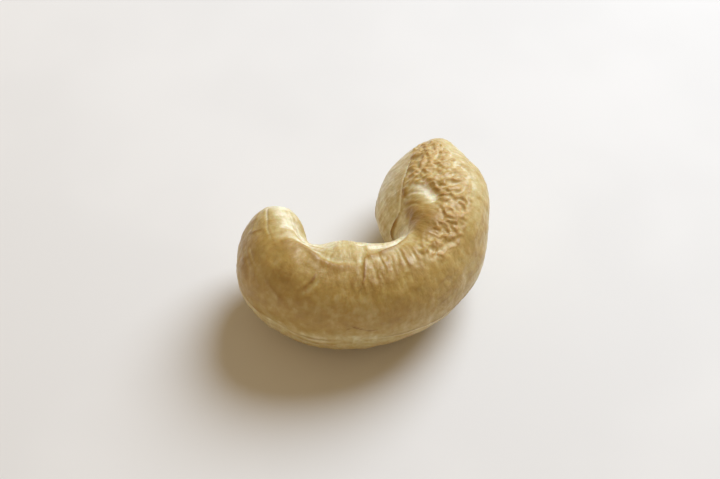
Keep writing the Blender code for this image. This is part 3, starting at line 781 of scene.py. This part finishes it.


# The skin: pale where it is high and on the lit bands and crests, which is partly painted light, tan in the
# painted shade of its folds and belly, brown in the creases.
skinLook = {
    # tone, from deep stain and painted shade to pale skin and painted light, and its colour
    "tones": ((-2.0, (0.368, 0.220, 0.050, 1.0)), (-1.0, (0.47, 0.315, 0.090, 1.0)),
              (0.0, (0.60, 0.485, 0.23, 1.0)), (1.0, (0.87, 0.81, 0.60, 1.0))),
    "toneWeights": {"cloud": 0.45, "mottle": 0.34, "streak": 1.1, "rib": 1.4},
    "paintedShadeAndLightWeight": -10.0,                    # how much darker the tone is in a hollow, as painted shade, and paler on a ridge, as painted light
    "paintedShadeAndLightRange": (-1.0, 0.9),
    "olive": (0.40, 0.31, 0.085, 1.0),
    "brown": (0.20, 0.075, 0.014, 1.0),
    "brownShare": 0.85,
    "apricot": (0.62, 0.40, 0.165, 1.0),      # of the crumpled patch
    # noise scale, detail and roughness, the noise at its soft edges, and the values on either side
    "patches": {
        "cloud": ((230.0, 3.0, 0.55), (0.40, 0.62), (0.0, 1.0)),         # about 4 mm wide
        "mottle": ((1150.0, 4.0, 0.62), (0.40, 0.62), (0.0, 1.0)),       # under 1 mm
        "olive": ((520.0, 3.0, 0.55), (0.48, 0.66), (0.0, 0.15)),
        "apricot": ((700.0, 3.0, 0.55), (0.35, 0.65), (0.05, 0.32)),
        "brown": ((1500.0, 2.0, 0.55), (0.25, 0.60), (0.55, 1.0)),
        "roughness": ((1200.0, 3.0, 0.55), (0.35, 0.65), (0.40, 0.58)),
    },
    # noise scale, detail and roughness, and how much the kernel is stretched under it
    "lines": {
        "streak": ((1.8, 3.0, 0.6), (3.2, 3.2, 0.35)),     # runs along the kernel
        "rib": ((1.7, 3.0, 0.6), (1.0, 1.0, 1.3)),         # runs round it
    },
    "drift": {"scale": 420.0, "detail": 2.0, "reach": 1.6},     # keeps those lines from being straight
    "grain": (4200.0, 3.0, 0.6),
    "pores": {"scale": 3600.0, "edge": 0.35},
    "bumpWeights": {"rib": 1.1, "streak": 0.9, "grain": 0.35, "pores": 0.12},
    "bumpStrength": 0.7,
    "bumpDepth": 0.08 * mm,
    # what is the same all over
    "sockets": {"Subsurface Weight": 0.35, "Subsurface Radius": (1.0, 0.45, 0.16),
                "Subsurface Scale": 0.8 * mm, "Specular IOR Level": 0.5, "Sheen Weight": 0.15,
                "Sheen Roughness": 0.4},
}


def mixed(tree, factor, first, second):     # inputs 6 and 7 and output 2 are the colours
    return put(tree, "ShaderNodeMix", {0: factor, 6: first, 7: second}, data_type="RGBA").outputs[2]


def makeSkinMaterial():
    material = bpy.data.materials.new("kernelSkin")
    material.use_nodes = True
    tree = material.node_tree
    surface = tree.nodes["Principled BSDF"]
    position = put(tree, "ShaderNodeTexCoord").outputs["Object"]

    def onSkin(name, output="Fac"):     # an attribute that the relief left on the mesh
        return put(tree, "ShaderNodeAttribute", attribute_name=name).outputs[output]

    def noise(vector, scale, detail, roughness):
        return put(tree, "ShaderNodeTexNoise", {"Vector": vector, "Scale": scale, "Detail": detail,
                                                "Roughness": roughness}).outputs["Fac"]

    def patches(name):
        sizes, edges, values = skinLook["patches"][name]
        return ramp(tree, noise(position, *sizes), *edges, *values)

    drift = put(tree, "ShaderNodeTexNoise", {"Vector": position, "Scale": skinLook["drift"]["scale"],
                                             "Detail": skinLook["drift"]["detail"]}).outputs["Color"]
    drift = vectors(tree, "SUBTRACT", drift, (0.5, 0.5, 0.5))
    drift = scaled(tree, drift, skinLook["drift"]["reach"])

    def lines(name):
        sizes, stretch = skinLook["lines"][name]
        place = vectors(tree, "MULTIPLY", onSkin("place", "Vector"), stretch)
        return noise(vectors(tree, "ADD", place, drift), *sizes)

    uneven = {"cloud": patches("cloud"), "mottle": patches("mottle"), "streak": lines("streak"),
              "rib": lines("rib")}
    tone = onSkin("tone")
    for name, weight in skinLook["toneWeights"].items():
        tone = maths(tree, "MULTIPLY_ADD", maths(tree, "SUBTRACT", uneven[name], 0.5), weight, tone)
    # painted shade: darker where the relief lies below its blurred self, and paler, as painted light, where
    # it stands above
    shade = maths(tree, "MULTIPLY", onSkin("hollow"), skinLook["paintedShadeAndLightWeight"])
    least, most = skinLook["paintedShadeAndLightRange"]
    shade = put(tree, "ShaderNodeClamp", {"Value": shade, "Min": least, "Max": most}).outputs[0]
    tone = maths(tree, "ADD", tone, shade)

    low, high = skinLook["tones"][0][0], skinLook["tones"][-1][0]
    along = maths(tree, "MULTIPLY_ADD", tone, 1 / (high - low), -low / (high - low))
    palette = put(tree, "ShaderNodeValToRGB", {0: along})
    stops = palette.color_ramp.elements
    for k, (at, colour) in enumerate(skinLook["tones"]):
        share = (at - low) / (high - low)
        stop = stops[k] if k < 2 else stops.new(share)     # a new ramp has two stops
        stop.position = share
        stop.color = colour
    colour = mixed(tree, patches("olive"), palette.outputs["Color"], skinLook["olive"])
    warmer = maths(tree, "MULTIPLY", onSkin("crumpled"), patches("apricot"))
    colour = mixed(tree, warmer, colour, skinLook["apricot"])
    soaked = maths(tree, "MULTIPLY", onSkin("stain"), patches("brown"))
    soaked = maths(tree, "MULTIPLY", soaked, skinLook["brownShare"])
    colour = mixed(tree, soaked, colour, skinLook["brown"])
    tree.links.new(colour, surface.inputs["Base Color"])
    tree.links.new(patches("roughness"), surface.inputs["Roughness"])
    for name, value in skinLook["sockets"].items():
        surface.inputs[name].default_value = value

    cells = put(tree, "ShaderNodeTexVoronoi", {"Vector": position, "Scale": skinLook["pores"]["scale"]},
                feature="F1").outputs["Distance"]
    uneven["grain"] = noise(position, *skinLook["grain"])
    uneven["pores"] = ramp(tree, cells, 0.0, skinLook["pores"]["edge"])
    height = 0.0
    for name, weight in skinLook["bumpWeights"].items():
        height = maths(tree, "MULTIPLY_ADD", uneven[name], weight, height)
    bump = put(tree, "ShaderNodeBump", {"Height": height, "Strength": skinLook["bumpStrength"],
                                        "Distance": skinLook["bumpDepth"]})
    tree.links.new(bump.outputs["Normal"], surface.inputs["Normal"])
    return material


skin = makeSkinMaterial()
piece = makeKernel(skin)
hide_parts(kernel["node"])
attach(piece, "root")
print("kernel is in place")


# The surface that it lies on, the light and the camera.
studio = {
    "floorHalf": 0.6,
    "floorColour": (0.80, 0.79, 0.78, 1.0),
    "floorShade": 0.96,                      # of that colour, in its darker patches
    "floorCloud": {"Scale": 30.0, "Detail": 3.0},
    "floorEdges": (0.4, 0.6),
    "floorSockets": {"Roughness": 0.8, "Specular IOR Level": 0.2},
    "skyColour": (1.0, 0.75, 0.45, 1.0),
    "skyStrength": 0.31,
    "azimuth": -30.0,
    "elevation": 54.0,
    "lens": 85.0,
    "sensor": 36.0,
    "clipStart": 0.01,
    "frameWidth": 0.070,                     # width seen at the aim, in metres
    "aim": (-0.00039, 0.00238, 0.00586),     # what the middle of the picture shows
    "lamps": {     # discs that face the aim: width in metres, power in watts
        "window": {"place": (0.236, 0.083, 0.259), "size": 0.27, "power": 1.73, "colour": (0.82, 0.90, 1.0)},
        "fill": {"place": (-0.22, -0.12, 0.10), "size": 0.30, "power": 0.09, "colour": (1.0, 0.84, 0.56)},
        "glow": {"place": (-0.09, 0.09, 0.05), "size": 0.10, "power": 0.007, "colour": (1.0, 0.72, 0.38)},
    },
}


def makeFloor():
    half = studio["floorHalf"]
    mesh = bpy.data.meshes.new("floor")
    corners = [(-half, -half, 0), (half, -half, 0), (half, half, 0), (-half, half, 0)]
    mesh.from_pydata(corners, [], [(0, 1, 2, 3)])
    material = bpy.data.materials.new("paleCard")
    material.use_nodes = True
    tree = material.node_tree
    surface = tree.nodes["Principled BSDF"]
    position = put(tree, "ShaderNodeTexCoord").outputs["Object"]
    cloud = put(tree, "ShaderNodeTexNoise", {"Vector": position, **studio["floorCloud"]}).outputs["Fac"]
    darker = tuple(studio["floorShade"] * part for part in studio["floorColour"][:3]) + (1.0,)
    colour = mixed(tree, ramp(tree, cloud, *studio["floorEdges"]), studio["floorColour"], darker)
    tree.links.new(colour, surface.inputs["Base Color"])
    for name, value in studio["floorSockets"].items():
        surface.inputs[name].default_value = value
    mesh.materials.append(material)
    floor = addObject("floor", mesh)


def makeLamps():
    for name, lamp in studio["lamps"].items():
        light = bpy.data.lights.new(name, "AREA")
        light.shape = "DISK"
        light.size = lamp["size"]
        light.energy = lamp["power"]
        light.color = lamp["colour"]
        holder = addObject(name, light)
        holder.location = lamp["place"]
        towardsAim = Vector(studio["aim"]) - Vector(lamp["place"])
        holder.rotation_euler = towardsAim.to_track_quat("-Z", "Y").to_euler()
    world = bpy.data.worlds.new("softRoom")
    world.use_nodes = True
    sky = world.node_tree.nodes["Background"]
    sky.inputs["Color"].default_value = studio["skyColour"]
    sky.inputs["Strength"].default_value = studio["skyStrength"]
    bpy.context.scene.world = world


def makeCamera():
    camera = bpy.data.cameras.new("photoCamera")
    camera.lens = studio["lens"]
    camera.sensor_width = studio["sensor"]
    camera.clip_start = studio["clipStart"]
    turn, tilt = math.radians(studio["azimuth"]), math.radians(studio["elevation"])
    away = Vector((math.sin(turn) * math.cos(tilt), -math.cos(turn) * math.cos(tilt), math.sin(tilt)))
    distance = studio["frameWidth"] / studio["sensor"] * studio["lens"]
    holder = addObject("photoCamera", camera)
    holder.location = Vector(studio["aim"]) + away * distance
    holder.rotation_euler = (-away).to_track_quat("-Z", "Y").to_euler()
    bpy.context.scene.camera = holder


makeFloor()
makeLamps()
makeCamera()
bpy.context.scene.view_settings.view_transform = "Standard"
print("floor, light and camera are set")
